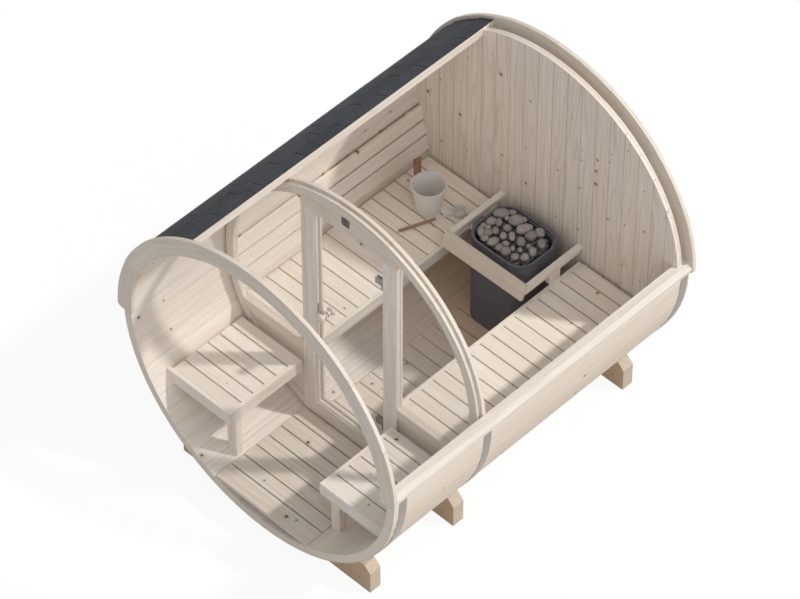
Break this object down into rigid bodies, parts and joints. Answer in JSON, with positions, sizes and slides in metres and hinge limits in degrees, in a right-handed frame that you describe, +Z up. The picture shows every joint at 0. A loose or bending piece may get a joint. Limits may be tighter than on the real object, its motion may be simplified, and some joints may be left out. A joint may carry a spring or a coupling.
{
  "type": "barrel sauna",
  "caption": "Round timber barrel sauna cut open to show a porch with side benches, a glazed partition with a glass door, slatted benches, a stone heater, pail and ladle.",
  "frame": {"origin": "middle of the ground under the barrel, halfway along its length", "axes": "+X to the right seen from the porch, +Y along the barrel from the porch to the back wall, +Z up"},
  "size_m": [2.2674, 2.55, 2.305],
  "materials": {
    "pale_wood": "planed",
    "rough_wood": "sawn",
    "dark_wood": "oiled",
    "shingle": "grainy matte",
    "steel": "satin",
    "vent_metal": "satin",
    "glass": "clear",
    "heater_metal": "matte",
    "stones": "rough",
    "pail_grey": "satin"
  },
  "bodies": {
    "sauna": {"cradle_front": "rough_wood", "cradle_middle": "rough_wood", "cradle_back": "rough_wood", "shell_left_upper": "pale_wood", "shell_left_lower": "pale_wood", "shell_bottom": "pale_wood", "shell_right": "pale_wood", "hoops": "steel", "roof_shingles": "shingle", "eaves_battens": "pale_wood", "front_arch": "pale_wood", "back_arch": "pale_wood", "back_wall": "pale_wood", "back_ring": "pale_wood", "partition_arch": "pale_wood", "partition_sides": "pale_wood", "door_header": "pale_wood", "door_posts": "pale_wood", "door_sill": "pale_wood", "door_catch": "steel", "bay_rails": "pale_wood", "bay_panels": "pale_wood", "side_glass": "glass", "vent_grille": "vent_metal", "porch_floor": "pale_wood", "room_floor": "pale_wood", "floor_bearers": "rough_wood", "porch_bench_left_frame": "pale_wood", "porch_bench_left_slats": "pale_wood", "porch_bench_right_frame": "pale_wood", "porch_bench_right_slats": "pale_wood", "bench_left_frame": "pale_wood", "bench_left_slats": "pale_wood", "bench_right_frame": "pale_wood", "bench_right_slats": "pale_wood", "backrest_boards": "pale_wood", "backrest_supports": "rough_wood", "heater_body": "heater_metal", "heater_stones": "stones", "guard_plank": "pale_wood", "guard_rails": "pale_wood", "pail": "pail_grey", "pail_handle": "dark_wood", "ladle": "pail_grey", "hinge_brackets": "steel"},
    "door": {"door_glass": "glass", "door_hinges": "steel", "door_handle": "pale_wood"}
  },
  "joints": [
    {"name": "door_hinge", "type": "hinge", "parent": "sauna", "child": "door", "pos_m": [0.262, -0.478, 1.17], "axis": [0, 0, 1], "range_deg": [0, 100]}
  ]
}
